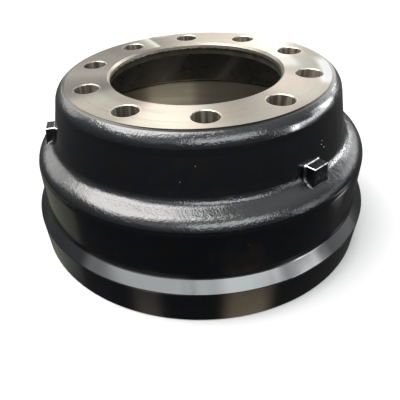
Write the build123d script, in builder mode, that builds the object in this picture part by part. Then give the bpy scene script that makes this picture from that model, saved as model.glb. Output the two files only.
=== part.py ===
from build123d import *
import os
from math import atan2, cos, hypot, radians, sin, tan

# Brake drum of a heavy truck axle: one iron casting, turned where it meets the hub, the wheel
# and the shoes. Sizes are in millimetres. The origin is the centre of the open rim, +Z points
# to the mounting face, and +X passes through the first bolt hole and the first lug.

# Whole drum
overall_height = 212.0
brake_diameter = 419.1         # the turned bore that the shoes press on
drum_depth = 127.0             # from the open rim to the closed end

# Wheel studs
bolt_circle_diameter = 285.75
bolt_hole_count = 10
bolt_hole_diameter = 31.0
bolt_hole_chamfer = 0.9

# Mounting flange
flange_thickness = 16.0        # between the two turned faces
face_margin = 10.8             # from the stud holes to the turned edge of the face
face_step = 1.2                # the face stands this far above the turned ledge round it
face_ledge_width = 4.4
crown_slope = 36.0             # degrees down from the ledge to the neck
crown_width = 8.1              # from the ledge to the line of the neck
crown_rounding = 22.0
pilot_margin = 15.875          # from the pilot bore to the stud holes, which makes the bore 223 mm
pilot_land_height = 8.0
pilot_chamfer = 2.7
pilot_relief = 1.5             # the cast bore under the land is wider by this much all round
hub_seat_depth = 0.8           # the seat is turned this far into the cast underside
hub_seat_margin = 5.0          # and stops this far short of the neck's inner skin

# Closed end and shoulder
closed_end_thickness = 14.5    # at the foot of the neck
shoulder_width = 29.8          # from the neck's foot out to the drum wall's foot
shoulder_slope = 24.0          # degrees below level
shoulder_rounding = 22.0

# Neck between the flange and the closed end
neck_wall = 12.0
neck_foot_fillet = 13.0
neck_inner_fillet = 5.0
neck_lip_rounding = 3.0

# Drum wall
drum_wall = 17.75              # at its foot, above the rim ring
drum_draft = 2.6               # degrees that the wall opens towards the rim
closed_end_relief = 1.6        # groove beside the closed end, deeper than the bore by this
closed_end_relief_width = 9.0
closed_end_fillet = 6.0
lead_in_chamfer = 2.5

# Thick ring round the open rim
rim_ring_thickness = 30.75     # from the bore to the outside
rim_ring_height = 46.5
rim_bevel_angle = 45.0
rim_bevel_fillet = 5.0
rim_edge_rounding = 1.6
rim_edge_chamfer = 1.5

# Cast lugs that stand in the corner between the neck and the shoulder
lug_count = 3
lug_width = 22.0
lug_length = 12.5              # from the neck out, along the lug's top
lug_rise = 16.0                # of the lug's top above the foot of the neck
lug_draft = 8.0
lug_edge_rounding = 1.2
lug_foot_fillet = 3.0
lug_sink = 6.0                 # the lug's root is buried this deep in the casting

# Radii and heights worked out from the sizes above
brake_radius = brake_diameter / 2
bolt_hole_radius = bolt_hole_diameter / 2
pilot_radius = bolt_circle_diameter / 2 - bolt_hole_radius - pilot_margin
face_radius = bolt_circle_diameter / 2 + bolt_hole_radius + face_margin
ledge_radius = face_radius + face_ledge_width
ledge_height = overall_height - face_step
crown_radius = ledge_radius + crown_width
crown_height = ledge_height - crown_width * tan(radians(crown_slope))
rim_radius = brake_radius + rim_ring_thickness
drum_foot_radius = brake_radius + drum_wall
drum_foot_height = rim_ring_height + (rim_radius - drum_foot_radius) / tan(radians(rim_bevel_angle))
neck_foot_radius = drum_foot_radius - shoulder_width
neck_foot_height = drum_depth + closed_end_thickness
hub_seat_height = overall_height - flange_thickness
underside_height = hub_seat_height - hub_seat_depth
relief_radius = brake_radius + closed_end_relief
lug_top_height = neck_foot_height + lug_rise

# The neck runs straight from the crown to its foot, and leans outwards by this angle
neck_draft = atan2(neck_foot_radius - crown_radius, crown_height - neck_foot_height)

# The crown's rounding stays within the slope outside the ledge
crown_turn = radians(90 - crown_slope) - neck_draft
crown_room = crown_width / cos(radians(crown_slope)) / tan(crown_turn / 2)
crown_fillet = min(crown_rounding, 0.9 * crown_room)

# Profiles are turned from a plane midway between two stud holes, so the seam crosses none of them
seam = radians(180 / bolt_hole_count)
turning_plane = Plane((0, 0, 0), x_dir=(cos(seam), sin(seam), 0), z_dir=(sin(seam), -cos(seam), 0))


def neck_radius(height):
    """Outer radius of the neck at a height above the open rim."""
    return neck_foot_radius - (height - neck_foot_height) * tan(neck_draft)


def neck_inner_radius(height):
    """Inner radius of the neck, one wall thickness inside its outer skin."""
    return neck_radius(height) - neck_wall / cos(neck_draft)


def shoulder_corner():
    """Point where the shoulder's slope would meet the drum wall without any rounding."""
    fall = tan(radians(shoulder_slope))
    spread = tan(radians(drum_draft))
    rise = neck_foot_height - drum_foot_height
    radius = (drum_foot_radius - spread * (rise + neck_foot_radius * fall)) / (1 - spread * fall)
    return (radius, neck_foot_height - (radius - neck_foot_radius) * fall)


def reach(edge):
    """Distance from the drum's axis to the middle of an edge."""
    return hypot(edge.center().X, edge.center().Y)


def round_corner(profile, corner, radius):
    """Rounds the one corner of a profile that lies at the given point."""
    fillet(profile.vertices().sort_by_distance((corner[0], corner[1], 0))[0], radius)


# Lugs, drafted so that the pattern draws out of the sand, with their outer edges rounded
lug_root = neck_inner_radius(lug_top_height) + lug_sink
lug_reach = neck_radius(lug_top_height) + lug_length
lug_middle = (lug_root + lug_reach) / 2
lug_fall = (lug_reach - neck_foot_radius) * tan(radians(shoulder_slope))
lug_height = lug_rise + lug_fall + lug_sink
with BuildPart() as lugs:
    with BuildSketch(Plane.XY.offset(lug_top_height)) as lug_tops:
        with PolarLocations(lug_middle, lug_count):
            Rectangle(lug_reach - lug_root, lug_width)
    extrude(amount=-lug_height, taper=-lug_draft)
    upper_edges = lugs.edges().filter_by_position(Axis.Z, lug_top_height - lug_height * 0.6, lug_top_height)
    fillet(upper_edges.filter_by(lambda edge: reach(edge) > lug_middle - 0.1), lug_edge_rounding)

# Outer skin of the casting, from the axis out along the rim and up to the face
crown = (crown_radius, crown_height)
neck_foot = (neck_foot_radius, neck_foot_height)
shoulder = shoulder_corner()
drum_foot = (drum_foot_radius, drum_foot_height)
bevel_edge = (rim_radius, rim_ring_height)
with BuildPart() as drum:
    with BuildSketch(turning_plane) as outer_skin:
        with BuildLine():
            Polyline(
                (0, 0),
                (rim_radius - rim_edge_chamfer, 0),
                (rim_radius, rim_edge_chamfer),
                bevel_edge,
                drum_foot,
                shoulder,
                neck_foot,
                crown,
                (ledge_radius, ledge_height),
                (face_radius, ledge_height),
                (face_radius, overall_height),
                (0, overall_height),
                close=True,
            )
        make_face()
        round_corner(outer_skin, bevel_edge, rim_edge_rounding)
        round_corner(outer_skin, drum_foot, rim_bevel_fillet)
        round_corner(outer_skin, shoulder, shoulder_rounding)
        round_corner(outer_skin, neck_foot, neck_foot_fillet)
        round_corner(outer_skin, crown, crown_fillet)
    revolve(axis=Axis.Z)

    # The lugs join the skin, with a fillet all round each foot
    add(lugs.part)
    fillet(drum.edges(Select.NEW), lug_foot_fillet)

    # Hollow of the casting: the neck, the closed end, and the bore with its relief groove
    lip = (neck_inner_radius(drum_depth), drum_depth)
    under_flange = (neck_inner_radius(underside_height), underside_height)
    closed_corner = (relief_radius, drum_depth)
    relief_foot = drum_depth - closed_end_relief_width
    with BuildSketch(turning_plane) as hollow:
        with BuildLine():
            Polyline(
                (0, 0),
                (brake_radius + lead_in_chamfer, 0),
                (brake_radius, lead_in_chamfer),
                (brake_radius, relief_foot - closed_end_relief),
                (relief_radius, relief_foot),
                closed_corner,
                lip,
                under_flange,
                (0, underside_height),
                close=True,
            )
        make_face()
        round_corner(hollow, closed_corner, closed_end_fillet)
        round_corner(hollow, lip, neck_lip_rounding)
        round_corner(hollow, under_flange, neck_inner_fillet)
    revolve(axis=Axis.Z, mode=Mode.SUBTRACT)

    # Turned hub seat and pilot bore, with the cast relief under the pilot's land
    hub_seat_radius = under_flange[0] - hub_seat_margin
    relief_bore_radius = pilot_radius + pilot_relief
    land_foot = overall_height - pilot_land_height
    with BuildSketch(turning_plane) as flange_bore:
        with BuildLine():
            Polyline(
                (0, underside_height),
                (hub_seat_radius, underside_height),
                (hub_seat_radius, hub_seat_height),
                (relief_bore_radius, hub_seat_height),
                (relief_bore_radius, land_foot - pilot_relief),
                (pilot_radius, land_foot),
                (pilot_radius, overall_height - pilot_chamfer),
                (pilot_radius + pilot_chamfer, overall_height),
                (0, overall_height),
                close=True,
            )
        make_face()
    revolve(axis=Axis.Z, mode=Mode.SUBTRACT)

    # Stud holes, with a small chamfer at both ends
    with BuildSketch(Plane.XY.offset(overall_height)) as stud_holes:
        with PolarLocations(bolt_circle_diameter / 2, bolt_hole_count):
            Circle(bolt_hole_radius)
    extrude(amount=-flange_thickness, mode=Mode.SUBTRACT)
    circles = drum.edges().filter_by(GeomType.CIRCLE)
    chamfer(circles.filter_by(lambda edge: abs(edge.radius - bolt_hole_radius) < 0.01), bolt_hole_chamfer)

os.makedirs("parts", exist_ok=True)
drum.part.label = "brake_drum"
export_step(drum.part, "parts/brake_drum.step")
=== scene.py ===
import bpy
import math
from mathutils import Matrix, Vector

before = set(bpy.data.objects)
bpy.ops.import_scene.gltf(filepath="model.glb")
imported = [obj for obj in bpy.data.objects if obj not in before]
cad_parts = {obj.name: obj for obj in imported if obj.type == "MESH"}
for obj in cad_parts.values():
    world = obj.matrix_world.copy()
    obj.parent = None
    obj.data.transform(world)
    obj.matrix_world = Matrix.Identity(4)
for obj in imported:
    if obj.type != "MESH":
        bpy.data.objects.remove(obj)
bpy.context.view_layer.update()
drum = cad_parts["brake_drum"]
print("frame loaded:", ", ".join(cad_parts))

# camera at the photograph's angle; metres and degrees, azimuth from +X, pitch down from level
camera = {
    "distance": 0.513,               # from the drum's axis
    "height": 0.3878,                # above the drum's foot
    "azimuth": -40.47,
    "pitch": 39.6,
    "roll": -4.8,
    "yaw": -6.3,
    "lens": 34.72,                   # in millimetres, on a sensor that is this wide
    "sensor": 36,
    "shift": (0.092, 0.04125),
    "clip": (0.01, 50),
}


def makeCamera():
    around = math.radians(camera["azimuth"])
    pitch, roll, yaw = (math.radians(camera[name]) for name in ("pitch", "roll", "yaw"))
    ahead = Vector((math.sin(yaw), math.cos(yaw), 0))
    forward = ahead * math.cos(pitch) - Vector((0, 0, math.sin(pitch)))
    level = Vector((math.cos(yaw), -math.sin(yaw), 0))
    upright = level.cross(forward)
    right = level * math.cos(roll) + upright * math.sin(roll)
    up = upright * math.cos(roll) - level * math.sin(roll)
    turn = Matrix.Rotation(around + math.pi / 2, 3, "Z")
    axes = Matrix((turn @ right, turn @ up, turn @ -forward)).transposed()
    place = Vector((math.cos(around), math.sin(around), 0)) * camera["distance"]
    place.z = camera["height"]
    data = bpy.data.cameras.new("camera")
    data.sensor_width = camera["sensor"]
    data.lens = camera["lens"]
    data.shift_x, data.shift_y = camera["shift"]
    data.clip_start, data.clip_end = camera["clip"]
    made = bpy.data.objects.new("camera", data)
    made.matrix_world = Matrix.Translation(place) @ axes.to_4x4()
    bpy.context.collection.objects.link(made)
    bpy.context.scene.camera = made


makeCamera()
print("camera placed")


# puts a node in a tree; an input given as a socket is linked, any other value is set on it
def addNode(tree, kind, inputs=None, **settings):
    made = tree.nodes.new(kind)
    for name, value in settings.items():
        setattr(made, name, value)
    for name, value in (inputs or {}).items():
        socket = made.inputs[name]
        if isinstance(value, bpy.types.NodeSocket):
            tree.links.new(value, socket)
        else:
            socket.default_value = value
    return made


def math2(tree, operation, a, b=0.0, c=0.0):
    return addNode(tree, "ShaderNodeMath", {0: a, 1: b, 2: c}, operation=operation).outputs[0]


# the Vector Math node takes its vectors in sockets 0 and 1, and a scale in socket 3
def vectorMath(tree, operation, a, b=(0, 0, 0), scale=1.0):
    return addNode(tree, "ShaderNodeVectorMath", {0: a, 1: b, 3: scale}, operation=operation).outputs[0]


# length of the long side of a right angle
def hypotenuse(tree, a, b):
    return math2(tree, "SQRT", math2(tree, "MULTIPLY_ADD", a, a, math2(tree, "MULTIPLY", b, b)))


def mapRange(tree, value, low, high, toLow=0.0, toHigh=1.0, smooth=False):
    return addNode(tree, "ShaderNodeMapRange", {
        "Value": value, "From Min": low, "From Max": high, "To Min": toLow, "To Max": toHigh,
    }, interpolation_type="SMOOTHSTEP" if smooth else "LINEAR").outputs["Result"]


# the Mix node takes its colours in sockets 6 and 7, and gives the mixed colour in socket 2
def mixColour(tree, factor, a, b, blend="MIX"):
    made = addNode(tree, "ShaderNodeMix", {0: factor, 6: a, 7: b}, data_type="RGBA", blend_type=blend)
    return made.outputs[2]


# place in the drum's own frame, in metres
def objectPlace(tree):
    return addNode(tree, "ShaderNodeTexCoord").outputs["Object"]


def noise(tree, vector, scale, detail=2.0, rough=0.5):
    return addNode(tree, "ShaderNodeTexNoise", {
        "Vector": vector, "Scale": scale, "Detail": detail, "Roughness": rough}).outputs["Fac"]


# a value that follows a list of stops: (position from 0 to 1, value), in rising order
def addRamp(tree, value, stops):
    ramp = addNode(tree, "ShaderNodeValToRGB", {"Fac": value})
    elements = ramp.color_ramp.elements
    elements[0].position, elements[1].position = stops[0][0], stops[-1][0]
    for position, _ in stops[1:-1]:
        elements.new(position)
    for element, (_, level) in zip(elements, stops):
        element.color = (level, level, level, 1)
    return ramp.outputs["Color"]


# a value that changes round the drum: stops are (degrees from +X, value) in rising order
def addSectors(tree, turn, stops):
    first, last = stops[0], stops[-1]
    seam = first[1] + (last[1] - first[1]) * (first[0] + 180) / (first[0] + 360 - last[0])
    around = [(-180, seam), *stops, (180, seam)]
    return addRamp(tree, turn, [((angle + 180) / 360, value) for angle, value in around])


# a node group with named inputs and outputs; gives its tree, its inputs and a way to set an output
def startGroup(name, inputs, outputs):
    tree = bpy.data.node_groups.new(name, "ShaderNodeTree")
    for socket, value in inputs.items():
        made = tree.interface.new_socket(socket, in_out="INPUT", socket_type="NodeSocketFloat")
        made.default_value = value
    for socket in outputs:
        tree.interface.new_socket(socket, in_out="OUTPUT", socket_type="NodeSocketFloat")
    given = tree.nodes.new("NodeGroupInput").outputs
    sent = tree.nodes.new("NodeGroupOutput").inputs

    def send(socket, value):
        tree.links.new(value, sent[socket])

    return tree, given, send


# places a group with its own values, and gives its outputs
def placeGroup(tree, group, inputs=None):
    return addNode(tree, "ShaderNodeGroup", inputs, node_tree=group).outputs


# noise seldom strays outside its spread, so a tone that it drives runs from end to end between these
noiseSpread = (0.3, 0.7)
noiseMiddle = 0.5


# skin of a sand casting under paint: fine grains, clusters of grains and long swells
def makeSandSkin():
    tree, given, send = startGroup("sandSkin", {
        "Grain Size": 0.0015, "Swell Size": 0.012, "Sand": 1.0, "Swell": 1.0, "Grain Height": 0.0003,
        "Cluster Height": 0.00008, "Cluster Scale": 0.45, "Swell Height": 0.0009,
    }, ["Height", "Blotch", "Grain"])
    place = objectPlace(tree)
    grainScale = math2(tree, "DIVIDE", 1.0, given["Grain Size"])
    clusterScale = math2(tree, "MULTIPLY", grainScale, given["Cluster Scale"])
    swellScale = math2(tree, "DIVIDE", 1.0, given["Swell Size"])
    grain = noise(tree, place, grainScale, detail=1.0)
    cluster = noise(tree, place, clusterScale, detail=0.0)
    swell = noise(tree, place, swellScale, rough=0.45)
    sand = math2(tree, "MULTIPLY_ADD", grain, given["Grain Height"],
                 math2(tree, "MULTIPLY", cluster, given["Cluster Height"]))
    low = math2(tree, "MULTIPLY", math2(tree, "MULTIPLY", swell, given["Swell Height"]), given["Swell"])
    send("Height", math2(tree, "MULTIPLY_ADD", sand, given["Sand"], low))
    send("Blotch", swell)
    send("Grain", grain)
    return tree


# the stud holes: radius of their circle in metres, and how many there are
studs = {"circle": 0.142875, "count": 10}


# distance from the drum's axis, height, place round the drum as a share of a turn from -X and in degrees
# from +X, and distance from the nearest stud hole's axis
def makeDrumPolar():
    tree, given, send = startGroup("drumPolar", {"Stud Circle": studs["circle"]},
                                   ["Radius", "Height", "Turn", "Degrees", "From Stud"])
    parts = addNode(tree, "ShaderNodeSeparateXYZ", {"Vector": objectPlace(tree)}).outputs
    radius = hypotenuse(tree, parts["X"], parts["Y"])
    angle = math2(tree, "ARCTAN2", parts["Y"], parts["X"])
    turn = math2(tree, "MULTIPLY_ADD", angle, 1 / math.tau, 0.5)
    halfStep = math.pi / studs["count"]
    fromHole = math2(tree, "WRAP", angle, halfStep, -halfStep)
    along = math2(tree, "SUBTRACT", math2(tree, "MULTIPLY", radius, math2(tree, "COSINE", fromHole)),
                  given["Stud Circle"])
    aside = math2(tree, "MULTIPLY", radius, math2(tree, "SINE", fromHole))
    send("Radius", radius)
    send("Height", parts["Z"])
    send("Turn", turn)
    send("Degrees", math2(tree, "MULTIPLY_ADD", turn, 360, -180))
    send("From Stud", hypotenuse(tree, along, aside))
    return tree


# marks of a lathe tool: even feed lines and rings of uneven tone, drawn out along the cut
def makeTurnedMarks():
    tree, given, send = startGroup("turnedMarks", {
        "Across": 0.0, "Feed": 0.0005, "Ring Size": 0.003, "Feed Height": 0.000008,
        "Ring Height": 0.000012}, ["Height", "Tone"])
    level = vectorMath(tree, "MULTIPLY", objectPlace(tree), (1, 1, 0))
    around = vectorMath(tree, "NORMALIZE", level)
    parts = addNode(tree, "ShaderNodeSeparateXYZ", {"Vector": around}).outputs
    across = math2(tree, "DIVIDE", given["Across"], given["Ring Size"])

    # a higher stretch breaks the rings up more often along the cut, a higher scale makes them finer
    def drawRings(stretch, scale):
        at = addNode(tree, "ShaderNodeCombineXYZ", {
            "X": math2(tree, "MULTIPLY", parts["X"], stretch),
            "Y": math2(tree, "MULTIPLY", parts["Y"], stretch),
            "Z": math2(tree, "MULTIPLY", across, scale)}).outputs[0]
        return noise(tree, at, 1.0, detail=3.0, rough=0.6)

    feedLines = math2(tree, "DIVIDE", given["Across"], given["Feed"])
    feed = math2(tree, "SINE", math2(tree, "MULTIPLY", feedLines, math.tau))
    fine = drawRings(stretch=5.0, scale=4.0)
    send("Height", math2(tree, "MULTIPLY_ADD", feed, given["Feed Height"],
                         math2(tree, "MULTIPLY", fine, given["Ring Height"])))
    send("Tone", drawRings(stretch=1.2, scale=1.0))
    return tree


# ragged edge of the paint where it creeps over turned metal: 1 where there is paint
def makePaintCreep():
    tree, given, send = startGroup("paintCreep", {
        "Edge": 0.0, "Ragged": 0.003, "Chip Size": 0.004, "Blur": 0.00015}, ["Paint"])
    scale = math2(tree, "DIVIDE", 1.0, given["Chip Size"])
    wander = noise(tree, objectPlace(tree), scale, detail=3.0, rough=0.65)
    # the noise stays near its middle, so its strays are drawn out four times
    shift = math2(tree, "MULTIPLY", math2(tree, "SUBTRACT", wander, noiseMiddle),
                  math2(tree, "MULTIPLY", given["Ragged"], 4))
    send("Paint", mapRange(tree, math2(tree, "ADD", given["Edge"], shift),
                           math2(tree, "MULTIPLY", given["Blur"], -1), given["Blur"]))
    return tree


# a patch with soft ends, between two angles round the drum and two distances across it
def makeSoftPatch():
    tree, given, send = startGroup("softPatch", {
        "Degrees": 0.0, "Across": 0.0, "Start": 0.0, "End": 10.0, "Low": 0.0, "High": 1.0,
        "Soft Turn": 5.0, "Soft Across": 0.005}, ["Patch"])
    inside = None
    sides = (("Degrees", "Start", "Soft Turn", 1), ("Degrees", "End", "Soft Turn", -1),
             ("Across", "Low", "Soft Across", 1), ("Across", "High", "Soft Across", -1))
    for value, edge, soft, sign in sides:
        past = math2(tree, "MULTIPLY", math2(tree, "SUBTRACT", given[value], given[edge]), sign)
        side = mapRange(tree, math2(tree, "DIVIDE", past, given[soft]), 0, 1, smooth=True)
        inside = side if inside is None else math2(tree, "MULTIPLY", inside, side)
    send("Patch", inside)
    return tree


sandSkin = makeSandSkin()
drumPolar = makeDrumPolar()
turnedMarks = makeTurnedMarks()
paintCreep = makePaintCreep()
softPatch = makeSoftPatch()
print("shared effects ready")


# limits are from and to in degrees, then from and to across; softness is in degrees and in metres
def placePatch(tree, polar, across, limits, softness):
    start, end, low, high = limits
    softTurn, softAcross = softness
    return placeGroup(tree, softPatch, {
        "Degrees": polar["Degrees"], "Across": across, "Start": start, "End": end, "Low": low,
        "High": high, "Soft Turn": softTurn, "Soft Across": softAcross})["Patch"]


# values that are named as the shader's sockets are set on them
def startFinish(name, values):
    made = bpy.data.materials.new(name)
    made.use_nodes = True
    tree = made.node_tree
    shader = tree.nodes["Principled BSDF"]
    for socket in ("Metallic", "Roughness", "IOR", "Anisotropic", "Anisotropic Rotation", "Coat IOR",
                   "Coat Roughness"):
        if socket in values:
            shader.inputs[socket].default_value = values[socket]
    return made, tree, shader


# links values to the shader; an underscore in a name stands for a space
def join(tree, shader, **sockets):
    for name, value in sockets.items():
        tree.links.new(value, shader.inputs[name.replace("_", " ")])


# heights are in metres, so the bump's own distance is 1
def bump(tree, height, strength):
    return addNode(tree, "ShaderNodeBump", {
        "Height": height, "Strength": strength, "Distance": 1.0}).outputs["Normal"]


# black paint over the sand-cast skin; the drum wall and the rim ring were skimmed before painting
castPaint = {
    "IOR": 1.5,
    "Metallic": 0.0,
    "colour": (0.0003, 0.0008, 0.0017, 1),
    "dustColour": (0.0011, 0.001, 0.0009, 1),
    "dustSpread": (0.4, 0.7),
    "roughness": (0.13, 0.18),
    "Coat IOR": 4.0,
    "Coat Roughness": 0.12,
    # where the paint ran thick and dried glossy: from and to in degrees from +X, from and to in height,
    # share, and how strongly the sand breaks the gloss up
    "gloss": (
        (-10, 6, 0.197, 0.2045, 1.3, 4.5),
        (0, 19, 0.1995, 0.209, 1.3, 4.5),
        (18, 36, 0.198, 0.2125, 0.45, 9),
        (30, 48, 0.203, 0.214, 0.7, 7),
        (41, 60, 0.206, 0.214, 0.8, 5),
        (14, 76, 0.136, 0.154, 0.15, 13),
        (6, 34, 0.1385, 0.1455, 0.7, 7),
        (-78, -41, 0.043, 0.066, 0.32, 0),
        (-36, -14, 0.043, 0.066, 0.05, 0),
        (-17, -6, 0.043, 0.066, 0.4, 0),
        (-20, 3, 0.043, 0.066, 0.33, 0),
    ),
    "glossEdge": (5, 0.0025),        # how soft the gloss ends, in degrees and in metres
    "grainSize": 0.002,
    "swellSize": 0.014,
    # how rough the skin is at each height, from the rim to the crown: (height, sand, swell)
    "skin": ((0.0, 0.04, 0.06), (0.1222, 0.04, 0.06), (0.1232, 1.0, 0.6), (0.145, 1.0, 0.6),
             (0.156, 0.06, 0.2), (0.19, 0.06, 0.2), (0.198, 0.9, 0.6), (0.212, 0.9, 0.6)),
    "bump": 1.0,
    "fleckColour": (0.07, 0.07, 0.068, 1),
    "fleckSpacing": 0.03,
    "fleckSize": (0.028, 0.0168),    # share of the spacing where a fleck begins, and where it is full
    # chips in the paint: (degrees from +X, height, size)
    "chips": ((6.0, 0.1735, 0.0011), (5.5, 0.1698, 0.0016), (7.0, 0.1652, 0.0014)),
    "chipColour": (0.42, 0.42, 0.44, 1),
    "chipRadius": 0.198,             # of the surface that has them
    "chipCore": 0.7,                 # inside this share of its size a chip has its full colour
    "paintedReflections": (),
}

# inside the neck the paint is smooth, and pale diagonal streaks are painted into it as painted
# reflections
innerPaint = dict(castPaint)
innerPaint.update({
    "colour": (0.02, 0.0185, 0.014, 1),
    "dustColour": (0.032, 0.028, 0.022, 1),
    "roughness": (0.26, 0.34),
    "gloss": (),
    "chips": (),
    "skin": ((0.0, 0.1, 0.2), (0.1, 0.1, 0.2), (0.15, 0.1, 0.2), (0.212, 0.1, 0.2)),
    # degrees from +X at the middle height, lean in degrees over the rise, width in degrees, share
    "paintedReflections": ((118.5, -11, 9, 0.5), (150, -12, 11, 0.2), (172, -10, 12, 0.15)),
    "reflectionColour": (0.1, 0.092, 0.082, 1),
    "reflectionMiddle": 0.16,
    "reflectionRise": 0.05,
    "reflectionTop": (0.188, 0.182),       # a painted reflection fades out between these heights
})


# adds up the patches of gloss, each broken up by the grain where the skin is sandy
def addGloss(tree, polar, values, grain, sand):
    rough = math2(tree, "MULTIPLY", math2(tree, "SUBTRACT", grain, noiseMiddle), sand)
    total = 0.0
    for *limits, share, broken in values["gloss"]:
        patch = placePatch(tree, polar, polar["Height"], limits, values["glossEdge"])
        level = math2(tree, "MAXIMUM", math2(tree, "MULTIPLY_ADD", rough, broken, 1.0), 0.0)
        total = math2(tree, "MULTIPLY_ADD", math2(tree, "MULTIPLY", patch, share), level, total)
    return mapRange(tree, total, 0, 1)


def addFlecks(tree, values, colour):
    cell = addNode(tree, "ShaderNodeTexVoronoi", {
        "Vector": objectPlace(tree), "Scale": 1 / values["fleckSpacing"]}).outputs["Distance"]
    return mixColour(tree, mapRange(tree, cell, *values["fleckSize"]), colour, values["fleckColour"])


# chips are round spots, and the grain makes their edges uneven
def addChips(tree, polar, values, grain, colour):
    for angle, height, size in values["chips"]:
        turn = math2(tree, "SUBTRACT", polar["Degrees"], angle)
        aside = math2(tree, "MULTIPLY", turn, math.radians(values["chipRadius"]))
        above = math2(tree, "SUBTRACT", polar["Height"], height)
        away = hypotenuse(tree, aside, above)
        uneven = math2(tree, "MULTIPLY_ADD", grain, size, away)
        chip = mapRange(tree, uneven, size, size * values["chipCore"])
        colour = mixColour(tree, chip, colour, values["chipColour"])
    return colour


# pale diagonal streaks painted into the colour as reflections
def addPaintedReflections(tree, polar, values, colour):
    for angle, lean, width, share in values["paintedReflections"]:
        above = math2(tree, "SUBTRACT", polar["Height"], values["reflectionMiddle"])
        middle = math2(tree, "MULTIPLY_ADD", above, lean / values["reflectionRise"], angle)
        away = math2(tree, "ABSOLUTE", math2(tree, "SUBTRACT", polar["Degrees"], middle))
        paintedReflection = math2(tree, "MULTIPLY", mapRange(tree, away, width / 2, 0, 0, share, smooth=True),
                     mapRange(tree, polar["Height"], *values["reflectionTop"], smooth=True))
        colour = mixColour(tree, paintedReflection, colour, values["reflectionColour"])
    return colour


def makePaint(name, values):
    made, tree, shader = startFinish(name, values)
    polar = placeGroup(tree, drumPolar)
    top = values["skin"][-1][0]
    rise = math2(tree, "DIVIDE", polar["Height"], top)
    sand = addRamp(tree, rise, [(height / top, grain) for height, grain, _ in values["skin"]])
    swell = addRamp(tree, rise, [(height / top, wave) for height, _, wave in values["skin"]])
    skin = placeGroup(tree, sandSkin, {
        "Grain Size": values["grainSize"], "Swell Size": values["swellSize"], "Sand": sand,
        "Swell": swell})
    dust = mapRange(tree, skin["Blotch"], *values["dustSpread"])
    colour = mixColour(tree, dust, values["colour"], values["dustColour"])
    colour = addFlecks(tree, values, colour)
    colour = addChips(tree, polar, values, skin["Grain"], colour)
    colour = addPaintedReflections(tree, polar, values, colour)
    if values["gloss"]:
        join(tree, shader, Coat_Weight=addGloss(tree, polar, values, skin["Grain"], sand))
    shine = mapRange(tree, skin["Blotch"], *noiseSpread, *values["roughness"])
    join(tree, shader, Base_Color=colour, Roughness=shine,
         Normal=bump(tree, skin["Height"], values["bump"]))
    return made


# bare iron, faced on a lathe
turnedFace = {
    "Metallic": 1.0,
    "Anisotropic": 0.85,
    "Anisotropic Rotation": 0.25,
    "colour": (0.93, 0.835, 0.71, 1),
    "darkColour": (0.87, 0.78, 0.66, 1),
    "highlightColour": (0.95, 0.94, 0.9, 1),
    "highlightFrom": (0.7, 1.0),      # painted highlight: metal painted this bright turns from its own colour to the highlight colour
    "roughness": (0.27, 0.3),
    "feed": 0.0006,
    "ringSize": 0.004,
    "bump": 0.6,
    "warmTint": (1.0, 0.96, 0.94, 1),
    "coolTint": (0.95, 1.0, 0.99, 1),
    "tintSize": 0.045,
    "tintSpread": (0.35, 0.65),
    "studHighlightRing": (0.0163, 0.0173),    # a painted highlight ring round each stud hole, between these distances
    "studHighlightHeight": (0.2, 0.21),   # and only on the upper face
    "studHighlightColour": (0.72, 0.68, 0.6, 1),
    # painted reflection round the face, darker and lighter by sector: (degrees from +X, share of its
    # full brightness)
    "sectors": ((-178, 0.31), (-168, 0.33), (-158, 0.43), (-148, 0.47), (-130, 0.66), (-120, 0.46),
                (-110, 0.36), (-103, 0.4), (-97, 0.64), (-90, 0.69), (-80, 0.54), (-71, 0.42),
                (-62, 0.66), (-38, 0.65), (-26, 0.5), (-18, 0.46), (0, 0.5), (10, 0.66), (30, 0.72),
                (40, 0.58), (62, 0.54), (74, 0.78), (82, 0.86), (100, 0.8), (112, 0.6), (142, 0.49),
                (162, 0.3), (165, 0.3), (166, 0.9), (171, 0.5)),
    # patches of painted reflection, brighter and darker: from and to in degrees from +X, from and to in
    # radius, brightness
    "patches": ((22, 62, 0.152, 0.19, 2.0), (40, 80, 0.09, 0.14, 1.5), (59, 89, 0.15, 0.19, 0.66),
                (-120, -64, 0.09, 0.136, 0.8), (148, 167, 0.155, 0.19, 1.9)),
    "patchEdge": (13, 0.011),        # how soft a patch ends, in degrees and in metres
}


# what all turned metal shares; the marks run across the radius, or along the height in a bore
def makeTurned(name, values, alongHeight=False):
    made, tree, shader = startFinish(name, values)
    polar = placeGroup(tree, drumPolar)
    marks = placeGroup(tree, turnedMarks, {
        "Across": polar["Height"] if alongHeight else polar["Radius"], "Feed": values["feed"],
        "Ring Size": values["ringSize"]})
    bright = mapRange(tree, marks["Tone"], *noiseSpread)
    colour = mixColour(tree, bright, values["darkColour"], values["colour"])
    shine = mapRange(tree, marks["Tone"], *noiseSpread, *values["roughness"])
    grain = addNode(tree, "ShaderNodeTangent", direction_type="RADIAL", axis="Z").outputs[0]
    join(tree, shader, Tangent=grain, Roughness=shine,
         Normal=bump(tree, marks["Height"], values["bump"]))
    return made, tree, shader, polar, colour


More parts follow.
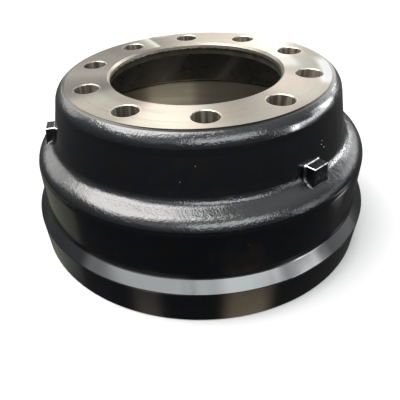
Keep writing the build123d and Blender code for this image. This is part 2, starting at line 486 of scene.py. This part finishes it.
def makeTurnedFace():
    made, tree, shader, polar, colour = makeTurned("turnedFace", turnedFace)
    cast = noise(tree, objectPlace(tree), 1 / turnedFace["tintSize"], detail=1.0)
    cool = mapRange(tree, cast, *turnedFace["tintSpread"])
    tint = mixColour(tree, cool, turnedFace["warmTint"], turnedFace["coolTint"])
    colour = mixColour(tree, 1.0, colour, tint, "MULTIPLY")
    # painted reflection: the sectors and patches paint the face's reflections into its colour, and the
    # brightest parts turn to the highlight colour
    stainAndPaintedSheen = addSectors(tree, polar["Turn"], turnedFace["sectors"])
    for *limits, level in turnedFace["patches"]:
        patch = placePatch(tree, polar, polar["Radius"], limits, turnedFace["patchEdge"])
        stainAndPaintedSheen = math2(tree, "MULTIPLY", stainAndPaintedSheen, math2(tree, "MULTIPLY_ADD", patch, level - 1, 1.0))
    paintedHighlight = mapRange(tree, stainAndPaintedSheen, *turnedFace["highlightFrom"])
    colour = mixColour(tree, paintedHighlight, colour, turnedFace["highlightColour"])
    colour = mixColour(tree, 1.0, colour, stainAndPaintedSheen, "MULTIPLY")
    # painted highlight: a bright ring just outside each stud hole's chamfer
    inner, outer = turnedFace["studHighlightRing"]
    paintedStudHighlight = math2(tree, "MULTIPLY", mapRange(tree, polar["From Stud"], outer, (inner + outer) / 2),
                 mapRange(tree, polar["Height"], *turnedFace["studHighlightHeight"]))
    join(tree, shader, Base_Color=mixColour(tree, paintedStudHighlight, colour, turnedFace["studHighlightColour"]))
    return made


# the ledge round the face, cut by the same tool, stained, and darkened further by painted shade
turnedLedge = {
    "Metallic": 1.0,
    "Anisotropic": 0.6,
    "Anisotropic Rotation": 0.25,
    "colour": (0.8, 0.78, 0.72, 1),
    "darkColour": (0.42, 0.39, 0.34, 1),
    "roughness": (0.36, 0.5),
    "feed": 0.0006,
    "ringSize": 0.002,
    "bump": 0.6,
    # share of the ledge left bright, round the drum: the dark run at the front is paint and stain, and
    # the tone elsewhere is painted reflection
    "sectors": ((-176, 0.43), (-158, 0.5), (-140, 0.5), (-120, 0.18), (-100, 0.4), (-80, 0.34),
                (-60, 0.15), (-40, 0.035), (-20, 0.025), (0, 0.11), (20, 0.46), (40, 0.85), (60, 1.0),
                (80, 0.5), (120, 0.45)),
    "stainAndPaintedShade": (0.012, 0.01, 0.009, 1),
}


def makeTurnedLedge():
    made, tree, shader, polar, colour = makeTurned("turnedLedge", turnedLedge)
    # the sectors paint both stain and reflection into the ledge's colour
    stainAndPaintedSheen = addSectors(tree, polar["Turn"], turnedLedge["sectors"])
    join(tree, shader, Base_Color=mixColour(tree, stainAndPaintedSheen, turnedLedge["stainAndPaintedShade"], colour))
    return made


# pilot bore: chamfer and land turned bright, paint creeping up from below and torn off in chips
pilotMetal = {
    "Metallic": 1.0,
    "Anisotropic": 0.5,
    "Anisotropic Rotation": 0.25,
    "colour": (0.9, 0.84, 0.7, 1),
    "darkColour": (0.6, 0.55, 0.46, 1),
    "roughness": (0.28, 0.4),
    "feed": 0.0005,
    "ringSize": 0.0022,
    "bump": 0.6,
    # painted reflection on the chamfer, and then on the land under it: (degrees from +X, share of full
    # brightness)
    "sectors": ((-178, 0.25), (-160, 0.66), (-140, 0.87), (-120, 1.0), (10, 0.9), (19, 0.8), (39, 0.55),
                (59, 0.3), (79, 0.14), (99, 0.11), (119, 0.15), (139, 0.14), (159, 0.2)),
    "landSectors": ((-170, 1.0), (-140, 1.1), (-110, 0.95), (-60, 0.8), (30, 0.75), (60, 0.6),
                    (120, 0.65), (150, 0.85)),
    "landTop": (0.2095, 0.2091),     # the chamfer gives way to the land between these heights
    "paint": (0.004, 0.0038, 0.0036, 1),
    "paintTop": 0.2052,
    # how far the paint's edge wanders, round the bore: (degrees from +X, metres)
    "ragged": ((-180, 0.003), (-150, 0.0036), (-135, 0.0006), (96, 0.0006), (120, 0.0016), (150, 0.0008),
               (168, 0.0012), (176, 0.003), (180, 0.003)),
    "chipSize": 0.0035,
    "pitSpacing": 0.02,
    "pitSize": (0.07, 0.049),        # share of the spacing where a pit begins, and where it is full
}


def makePilotMetal():
    made, tree, shader, polar, colour = makeTurned("pilotMetal", pilotMetal, alongHeight=True)
    onLand = mapRange(tree, polar["Height"], *pilotMetal["landTop"])
    # the sectors paint reflection into the chamfer's and the land's colour
    stainAndPaintedSheen = mixColour(tree, onLand, addSectors(tree, polar["Turn"], pilotMetal["sectors"]),
                      addSectors(tree, polar["Turn"], pilotMetal["landSectors"]))
    colour = mixColour(tree, 1.0, colour, stainAndPaintedSheen, "MULTIPLY")
    ragged = addRamp(tree, polar["Turn"], [
        ((angle + 180) / 360, wander) for angle, wander in pilotMetal["ragged"]])
    paint = placeGroup(tree, paintCreep, {
        "Edge": math2(tree, "SUBTRACT", pilotMetal["paintTop"], polar["Height"]), "Ragged": ragged,
        "Chip Size": pilotMetal["chipSize"]})["Paint"]
    cell = addNode(tree, "ShaderNodeTexVoronoi", {
        "Vector": objectPlace(tree), "Scale": 1 / pilotMetal["pitSpacing"]}).outputs["Distance"]
    dark = math2(tree, "MAXIMUM", paint, mapRange(tree, cell, *pilotMetal["pitSize"]))
    join(tree, shader, Base_Color=mixColour(tree, dark, colour, pilotMetal["paint"]),
         Metallic=math2(tree, "SUBTRACT", 1.0, dark))
    return made


# drilled holes: dull walls with streaks that run down them
drilledMetal = {
    "Metallic": 0.75,
    "Roughness": 0.34,
    "colour": (0.4, 0.365, 0.3, 1),
    "darkColour": (0.12, 0.108, 0.085, 1),
    "streakSize": 0.006,
    "streakSpread": (0.42, 0.6),
    "streakHeight": 0.0008,
    "drawnOut": 0.06,                # a streak is as long as its size over this
    "bump": 0.5,
}


def makeDrilledMetal():
    made, tree, shader = startFinish("drilledMetal", drilledMetal)
    flat = vectorMath(tree, "MULTIPLY", objectPlace(tree), (1, 1, drilledMetal["drawnOut"]))
    streak = noise(tree, flat, 1 / drilledMetal["streakSize"], rough=0.6)
    bright = mapRange(tree, streak, *drilledMetal["streakSpread"])
    colour = mixColour(tree, bright, drilledMetal["darkColour"], drilledMetal["colour"])
    height = math2(tree, "MULTIPLY", streak, drilledMetal["streakHeight"])
    join(tree, shader, Base_Color=colour, Normal=bump(tree, height, drilledMetal["bump"]))
    return made


# chamfers of the stud holes, cut last and still bright
cutEdge = {
    "Metallic": 1.0,
    "Roughness": 0.42,
    "colour": (0.3, 0.28, 0.24, 1),
    "darkColour": (0.12, 0.11, 0.09, 1),
    "patchSize": 0.006,
    "patchSpread": (0.35, 0.5),
    "patchHeight": 0.0006,
    "bump": 0.5,
}

# edges of the lugs' tops, where handling has worn the paint through
lugEdge = dict(cutEdge)
lugEdge.update({
    "Roughness": 0.3,
    "colour": (0.78, 0.78, 0.8, 1),
    "darkColour": (0.12, 0.12, 0.12, 1),
    "patchSize": 0.005,
})


def makeWornEdge(name, values):
    made, tree, shader = startFinish(name, values)
    patch = noise(tree, objectPlace(tree), 1 / values["patchSize"], rough=0.6)
    wearAndPaintedLight = mapRange(tree, patch, *values["patchSpread"])
    height = math2(tree, "MULTIPLY", patch, values["patchHeight"])
    join(tree, shader, Base_Color=mixColour(tree, wearAndPaintedLight, values["darkColour"], values["colour"]),
         Normal=bump(tree, height, values["bump"]))
    return made


# brake bore: bored, then dulled to a brown grey
brakeMetal = {
    "Metallic": 1.0,
    "Anisotropic": 0.5,
    "Anisotropic Rotation": 0.25,
    "colour": (0.97, 0.88, 0.7, 1),
    "darkColour": (0.87, 0.77, 0.6, 1),
    "roughness": (0.34, 0.42),
    "feed": 0.0005,
    "ringSize": 0.012,
    "bump": 0.6,
    # painted highlight on the bore wall round the drum, brightest in one band: (degrees from +X, share
    # of its full brightness)
    "sectors": ((-175, 0.3), (-60, 0.42), (109, 0.45), (131, 0.47), (136.5, 0.58), (139.5, 0.8),
                (141.5, 1.0), (158, 1.0), (162, 0.9), (166.5, 0.46), (173, 0.3)),
}


def makeBrakeMetal():
    made, tree, shader, polar, colour = makeTurned("brakeMetal", brakeMetal, alongHeight=True)
    # painted highlight: the sectors brighten one band of the bore wall
    wearAndPaintedLight = addSectors(tree, polar["Turn"], brakeMetal["sectors"])
    join(tree, shader, Base_Color=mixColour(tree, 1.0, colour, wearAndPaintedLight, "MULTIPLY"))
    return made


finishes = [makePaint("castPaint", castPaint), makePaint("innerPaint", innerPaint), makeTurnedFace(),
            makeTurnedLedge(), makePilotMetal(), makeDrilledMetal(), makeWornEdge("cutEdge", cutEdge),
            makeWornEdge("lugEdge", lugEdge), makeBrakeMetal()]
print("finishes:", ", ".join(finish.name for finish in finishes))

# where each finish begins and ends on the casting, in millimetres of height or of radius; a pair is from
# and to
zones = {
    "studFoot": 195.9,
    "studReach": 16.6,               # from a stud hole's axis
    "drilledWall": (196.9, 211.05),  # between the chamfers
    "faceLevel": 211.95,
    "faceEdge": 169.4,
    "ledgeLevel": 210.5,
    "ledge": (168.9, 173.7),
    "pilotFoot": 203.9,
    "pilotWall": 114.3,
    "hubSeat": (195.1, 196.9),
    "hubSeatEdge": 167.2,
    "brakeTop": 121.0,
    "brakeWall": (209.0, 212.2),
    "rimLevel": 0.1,
    "lugEdges": (155.6, 158.3),
    "lugSlope": (0.3, 0.97),         # rise of its normal; the neck's is less, a level face's is more
    "insideNeck": 200.0,
}


def within(value, limits):
    return limits[0] < value < limits[1]


def finishFor(centre, normal):
    x, y, z = centre * 1000          # from metres
    radius = math.hypot(x, y)
    step = math.tau / studs["count"]
    turn = round(math.atan2(y, x) / step) * step
    circle = studs["circle"] * 1000
    fromStud = math.hypot(x - circle * math.cos(turn), y - circle * math.sin(turn))
    if z > zones["studFoot"] and fromStud < zones["studReach"]:
        return "drilledMetal" if within(z, zones["drilledWall"]) else "cutEdge"
    if z > zones["faceLevel"] and radius < zones["faceEdge"]:
        return "turnedFace"
    if z > zones["ledgeLevel"] and within(radius, zones["ledge"]):
        return "turnedLedge"
    if z > zones["pilotFoot"] and radius < zones["pilotWall"]:
        return "pilotMetal"
    if within(z, zones["hubSeat"]) and radius < zones["hubSeatEdge"]:
        return "turnedFace"
    if z < zones["brakeTop"] and within(radius, zones["brakeWall"]):
        return "brakeMetal"
    if z < zones["rimLevel"] and radius > zones["brakeWall"][0]:
        return "turnedFace"
    if within(z, zones["lugEdges"]) and within(normal.z, zones["lugSlope"]):
        return "lugEdge"
    if z > zones["brakeTop"] and radius < zones["insideNeck"] and x * normal.x + y * normal.y < 0:
        return "innerPaint"
    return "castPaint"


def dressDrum():
    mesh = drum.data
    names = [finish.name for finish in finishes]
    drum.material_slots[0].material = finishes[0]
    for finish in finishes[1:]:
        mesh.materials.append(finish)
    counts = dict.fromkeys(names, 0)
    for polygon in mesh.polygons:
        name = finishFor(polygon.center, polygon.normal)
        counts[name] += 1
        polygon.material_index = names.index(name)
    print("faces in each finish:", counts)


dressDrum()

# studio: the camera sees a plain pale room, and the drum is lit by soft boxes round it
studio = {
    "room": (0.95, 0.95, 0.95, 1),
    "sky": (0.98, 0.99, 1.0),
    "skyBand": (10, 60),             # degrees above the horizon between which the sky brightens
    "skyShine": (0.36, 1.6),
    "ground": (1.0, 0.98, 0.95),
    "groundBand": (-28, -2),
    "groundShine": (0.062, 0.18),
    "horizonEdge": 1.5,              # degrees over which sky and ground blend, each way
    "floorColour": (0.3, 0.3, 0.3, 1),
    "floorRoughness": 0.8,
    "floorSize": 6.0,
    "floorGap": 0.0002,              # the floor lies this far under the rim
}

# in degrees; azimuth runs from the photograph's side towards the picture's right, and edge is how soft
# a box ends
softBoxes = {
    "strip": {"azimuth": 25, "width": 58, "elevation": 41, "height": 22, "edge": 10, "shine": 8,
              "tint": (0.94, 0.99, 1.0)},
    "stripLeft": {"azimuth": -29, "width": 70, "elevation": 36, "height": 12, "edge": 4, "shine": 1.3,
                  "tint": (0.94, 0.99, 1.0)},
    "upperLeft": {"azimuth": -92, "width": 70, "elevation": 58, "height": 34, "edge": 10, "shine": 15,
                  "tint": (1.0, 0.98, 0.96)},
    "upperFront": {"azimuth": -45, "width": 44, "elevation": 70, "height": 24, "edge": 12, "shine": 8,
                   "tint": (1.0, 0.98, 0.96)},
    "top": {"azimuth": -60, "width": 230, "elevation": 84, "height": 22, "edge": 8, "shine": 11,
            "tint": (1.0, 0.99, 0.98)},
    "right": {"azimuth": 72, "width": 16, "elevation": 13, "height": 22, "edge": 6, "shine": 3.4,
              "tint": (0.96, 0.98, 1.0)},
    "rightFar": {"azimuth": 99, "width": 36, "elevation": 11, "height": 14, "edge": 3, "shine": 1.1,
                 "tint": (0.96, 0.98, 1.0)},
    "rightLow": {"azimuth": 128, "width": 34, "elevation": 18, "height": 20, "edge": 6, "shine": 3,
                 "tint": (0.96, 0.98, 1.0)},
    "leftLow": {"azimuth": -128, "width": 34, "elevation": 24, "height": 22, "edge": 8, "shine": 3,
                "tint": (1.0, 1.0, 0.95)},
    "behindMiddle": {"azimuth": -177, "width": 8, "elevation": 28, "height": 40, "edge": 5, "shine": 0.5,
                     "tint": (1.0, 0.97, 0.92)},
    "behindRight": {"azimuth": 168, "width": 8, "elevation": 15, "height": 22, "edge": 4, "shine": 1.1,
                    "tint": (1.0, 1.0, 0.99)},
    "warmFloor": {"azimuth": 40, "width": 34, "elevation": -58, "height": 20, "edge": 14, "shine": 1.3,
                  "tint": (1.0, 0.82, 0.55)},
    "dimFloor": {"azimuth": -40, "width": 20, "elevation": -56, "height": 14, "edge": 12, "shine": 0.5,
                 "tint": (1.0, 0.9, 0.75)},
    "leftFloor": {"azimuth": -118, "width": 44, "elevation": -34, "height": 24, "edge": 6, "shine": 0.2,
                  "tint": (0.95, 1.0, 0.8)},
    "behindFloor": {"azimuth": 166, "width": 34, "elevation": -42, "height": 14, "edge": 8, "shine": 0.8,
                    "tint": (1.0, 0.98, 0.9)},
    "wallSpot": {"azimuth": 108, "width": 12, "elevation": -28, "height": 8, "edge": 4, "shine": 1.3,
                 "tint": (1.0, 1.0, 1.0)},
}


# one soft box of the surroundings: 1 inside it, falling to 0 over its edge
def makeSoftBox():
    tree, given, send = startGroup("softBox", {
        "Azimuth": 0.0, "Elevation": 0.0, "From": 0.0, "Width": 10.0, "Level": 0.0, "Height": 10.0,
        "Edge": 3.0}, ["Light"])
    turn = math2(tree, "WRAP", math2(tree, "SUBTRACT", given["Azimuth"], given["From"]), 180.0, -180.0)
    rise = math2(tree, "SUBTRACT", given["Elevation"], given["Level"])
    inside = None
    for offset, size in ((turn, given["Width"]), (rise, given["Height"])):
        away = math2(tree, "ABSOLUTE", offset)
        past = math2(tree, "SUBTRACT", away, math2(tree, "MULTIPLY", size, 0.5))
        reach = math2(tree, "DIVIDE", past, given["Edge"])
        side = mapRange(tree, reach, 0.5, -0.5, smooth=True)
        inside = side if inside is None else math2(tree, "MULTIPLY", inside, side)
    send("Light", inside)
    return tree


def makeWorld():
    softBox = makeSoftBox()
    world = bpy.data.worlds.new("studio")
    world.use_nodes = True
    bpy.context.scene.world = world
    tree = world.node_tree
    way = addNode(tree, "ShaderNodeSeparateXYZ", {
        "Vector": addNode(tree, "ShaderNodeTexCoord").outputs["Generated"]}).outputs
    azimuth = math2(tree, "SUBTRACT", math2(tree, "DEGREES", math2(tree, "ARCTAN2", way["Y"], way["X"])),
                    camera["azimuth"])
    elevation = math2(tree, "DEGREES", math2(tree, "ARCSINE", way["Z"]))
    above = mapRange(tree, elevation, -studio["horizonEdge"], studio["horizonEdge"], smooth=True)
    sky = mapRange(tree, elevation, *studio["skyBand"], *studio["skyShine"])
    ground = mapRange(tree, elevation, *studio["groundBand"], *studio["groundShine"])
    total = mixColour(tree, above, vectorMath(tree, "SCALE", studio["ground"], scale=ground),
                      vectorMath(tree, "SCALE", studio["sky"], scale=sky))
    for box in softBoxes.values():
        light = placeGroup(tree, softBox, {
            "Azimuth": azimuth, "Elevation": elevation, "From": box["azimuth"], "Width": box["width"],
            "Level": box["elevation"], "Height": box["height"], "Edge": box["edge"]})["Light"]
        level = math2(tree, "MULTIPLY", light, box["shine"])
        total = vectorMath(tree, "ADD", total, vectorMath(tree, "SCALE", box["tint"], scale=level))
    lit = tree.nodes["Background"]
    tree.links.new(total, lit.inputs["Color"])
    plain = addNode(tree, "ShaderNodeBackground", {"Color": studio["room"]}).outputs[0]
    seen = addNode(tree, "ShaderNodeLightPath").outputs["Is Camera Ray"]
    mixed = addNode(tree, "ShaderNodeMixShader", {0: seen, 1: lit.outputs[0], 2: plain}).outputs[0]
    tree.links.new(mixed, tree.nodes["World Output"].inputs["Surface"])


def makeFloor():
    half = studio["floorSize"] / 2
    mesh = bpy.data.meshes.new("floor")
    drop = -studio["floorGap"]
    corners = [(-half, -half, drop), (half, -half, drop), (half, half, drop), (-half, half, drop)]
    mesh.from_pydata(corners, [], [(0, 1, 2, 3)])
    made = bpy.data.objects.new("floor", mesh)
    made.visible_glossy = False
    bpy.context.collection.objects.link(made)
    look = bpy.data.materials.new("floorPaper")
    look.use_nodes = True
    tree = look.node_tree
    shader = tree.nodes["Principled BSDF"]
    shader.inputs["Base Color"].default_value = studio["floorColour"]
    shader.inputs["Roughness"].default_value = studio["floorRoughness"]
    # seen from below the floor is clear, so that the drum's underside shows
    clear = addNode(tree, "ShaderNodeBsdfTransparent").outputs[0]
    below = addNode(tree, "ShaderNodeNewGeometry").outputs["Backfacing"]
    either = addNode(tree, "ShaderNodeMixShader", {0: below, 1: shader.outputs[0], 2: clear}).outputs[0]
    tree.links.new(either, tree.nodes["Material Output"].inputs["Surface"])
    mesh.materials.append(look)


makeWorld()
makeFloor()
bpy.context.scene.view_settings.view_transform = "Standard"
print("studio ready")
